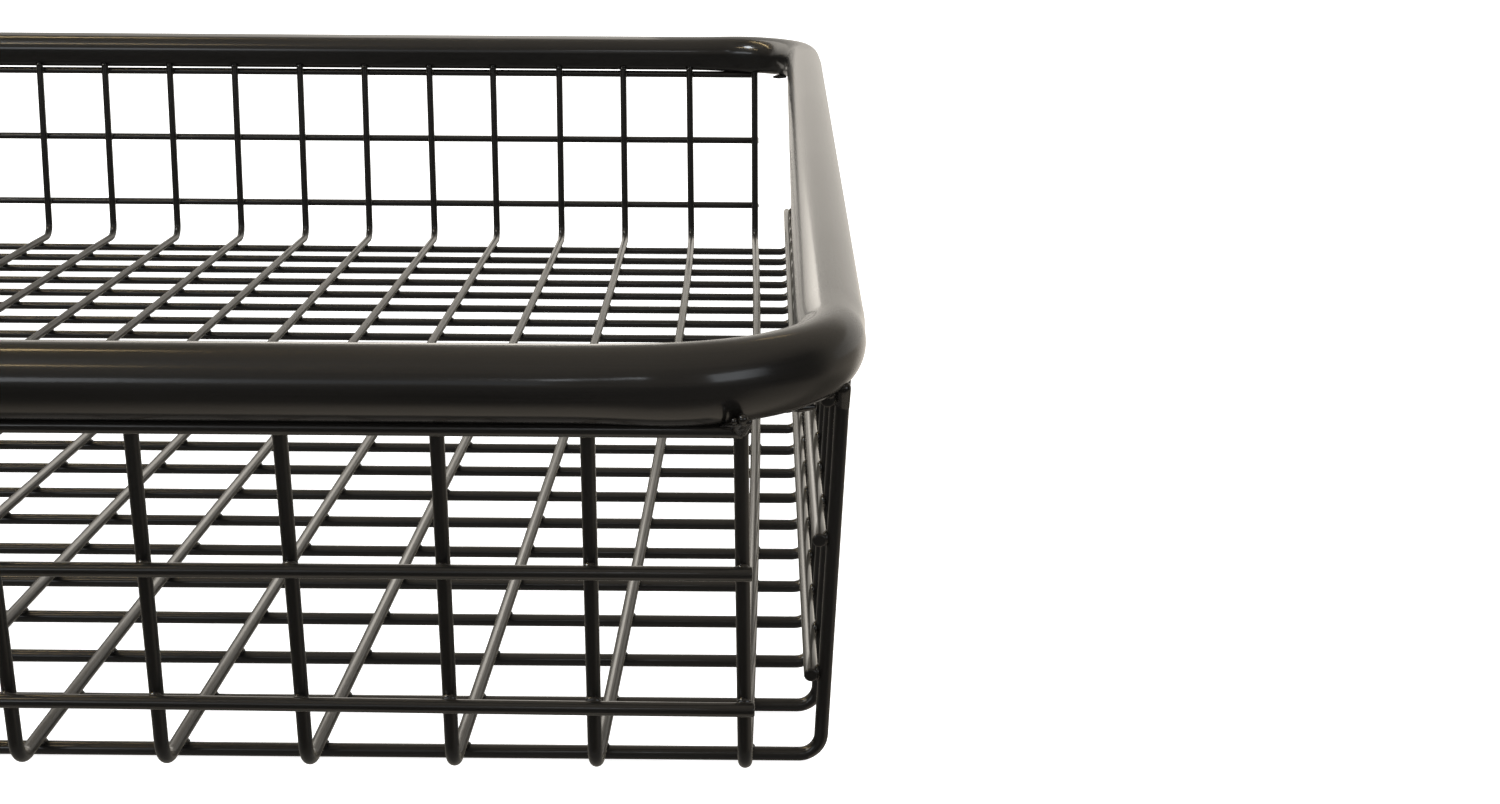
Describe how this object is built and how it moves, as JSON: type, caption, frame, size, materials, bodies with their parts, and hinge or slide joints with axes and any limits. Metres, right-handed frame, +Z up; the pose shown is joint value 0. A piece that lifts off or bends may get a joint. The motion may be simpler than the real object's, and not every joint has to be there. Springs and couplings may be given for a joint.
{
  "type": "wire drawer basket",
  "caption": "Shallow welded wire basket with outward-leaning mesh walls under a closed rim of bent round tube, made to lie in a drawer or cabinet and hold loose contents.",
  "frame": {"origin": "on the surface the basket stands on, under the middle of its bounding box", "axes": "+Z up; +X to the right seen from the front, across the drawer, along the long wires; +Y from the front wall to the back wall, along the cross wires"},
  "size_m": [0.5434, 0.4982, 0.0807],
  "materials": {
    "rim_coat": "satin black powder coat on bent steel tube",
    "wire_coat": "satin black powder coat on drawn steel wire",
    "weld_coat": "glossier black powder coat over weld metal"
  },
  "bodies": {
    "root": {"rim_tube": "rim_coat", "rim_butt_weld": "weld_coat", "corner_weld_beads": "weld_coat", "cross_wire_01": "wire_coat", "cross_wire_02": "wire_coat", "cross_wire_03": "wire_coat", "cross_wire_04": "wire_coat", "cross_wire_05": "wire_coat", "cross_wire_06": "wire_coat", "cross_wire_07": "wire_coat", "cross_wire_08": "wire_coat", "cross_wire_09": "wire_coat", "cross_wire_10": "wire_coat", "cross_wire_11": "wire_coat", "cross_wire_12": "wire_coat", "cross_wire_13": "wire_coat", "cross_wire_14": "wire_coat", "cross_wire_15": "wire_coat", "cross_wire_16": "wire_coat", "cross_wire_17": "wire_coat", "cross_wire_18": "wire_coat", "cross_wire_19": "wire_coat", "cross_wire_20": "wire_coat", "cross_wire_21": "wire_coat", "long_wire_01": "wire_coat", "long_wire_02": "wire_coat", "long_wire_03": "wire_coat", "long_wire_04": "wire_coat", "long_wire_05": "wire_coat", "long_wire_06": "wire_coat", "long_wire_07": "wire_coat", "long_wire_08": "wire_coat", "long_wire_09": "wire_coat", "long_wire_10": "wire_coat", "long_wire_11": "wire_coat", "long_wire_12": "wire_coat", "long_wire_13": "wire_coat", "long_wire_14": "wire_coat", "long_wire_15": "wire_coat", "long_wire_16": "wire_coat", "long_wire_17": "wire_coat", "long_wire_18": "wire_coat", "long_wire_19": "wire_coat", "long_wire_20": "wire_coat", "long_wire_21": "wire_coat", "long_wire_22": "wire_coat", "long_wire_23": "wire_coat", "front_rail_bottom": "wire_coat", "front_rail_middle": "wire_coat", "front_rail_top": "wire_coat", "back_rail_bottom": "wire_coat", "back_rail_middle": "wire_coat", "back_rail_top": "wire_coat", "left_rail_bottom": "wire_coat", "left_rail_middle": "wire_coat", "left_rail_top": "wire_coat", "right_rail_bottom": "wire_coat", "right_rail_middle": "wire_coat", "right_rail_top": "wire_coat"}
  },
  "joints": []
}
